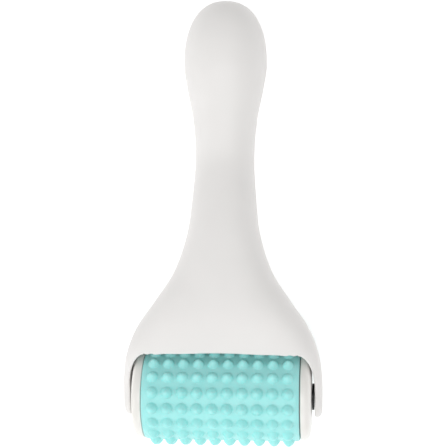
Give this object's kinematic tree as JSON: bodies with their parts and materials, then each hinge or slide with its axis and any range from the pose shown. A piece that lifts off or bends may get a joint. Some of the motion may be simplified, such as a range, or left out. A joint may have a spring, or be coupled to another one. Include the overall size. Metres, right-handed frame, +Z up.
{
  "type": "derma roller",
  "caption": "Skin roller: a soft nubbed silicone sleeve on a gel-filled drum, free to spin between the two arms of a hollow moulded handle.",
  "frame": {"origin": "middle of the box at its base, where the roller's two lowest rows of nubs and the grip's round end rest on a table", "axes": "+Y runs along the handle from the roller to the grip's end, +X along the roller's axle, +Z up"},
  "size_m": [0.0784, 0.1768, 0.0396],
  "materials": {
    "white_abs": "fine matte moulded ABS",
    "white_cap": "satin moulded ABS",
    "turquoise_silicone": "satin moulded silicone",
    "drum_polypropylene": "plain moulded",
    "black_nylon": "plain moulded",
    "acetal": "plain moulded",
    "steel": "plain drawn",
    "seal_rubber": "matte",
    "cooling_gel": "clear gel"
  },
  "bodies": {
    "handle": {"front_shell": "white_abs", "rear_shell": "white_abs", "left_head_screw": "steel", "right_head_screw": "steel", "grip_screw": "steel", "left_head_screw_plug": "white_abs", "right_head_screw_plug": "white_abs", "grip_screw_plug": "white_abs", "left_pivot_bush": "acetal", "right_pivot_bush": "acetal"},
    "roller": {"nub_sleeve": "turquoise_silicone", "roller_drum": "drum_polypropylene", "cooling_gel": "cooling_gel", "left_end_cap": "white_cap", "right_end_cap": "white_cap", "left_seal_ring": "seal_rubber", "right_seal_ring": "seal_rubber", "left_stub_axle": "steel", "right_stub_axle": "steel", "fill_plug": "seal_rubber", "left_thrust_washer": "black_nylon", "right_thrust_washer": "black_nylon"}
  },
  "joints": [
    {"name": "roller_spin", "type": "hinge", "parent": "handle", "child": "roller", "pos_m": [0, -0.06855, 0.01979], "axis": [1, 0, 0], "continuous": true}
  ]
}
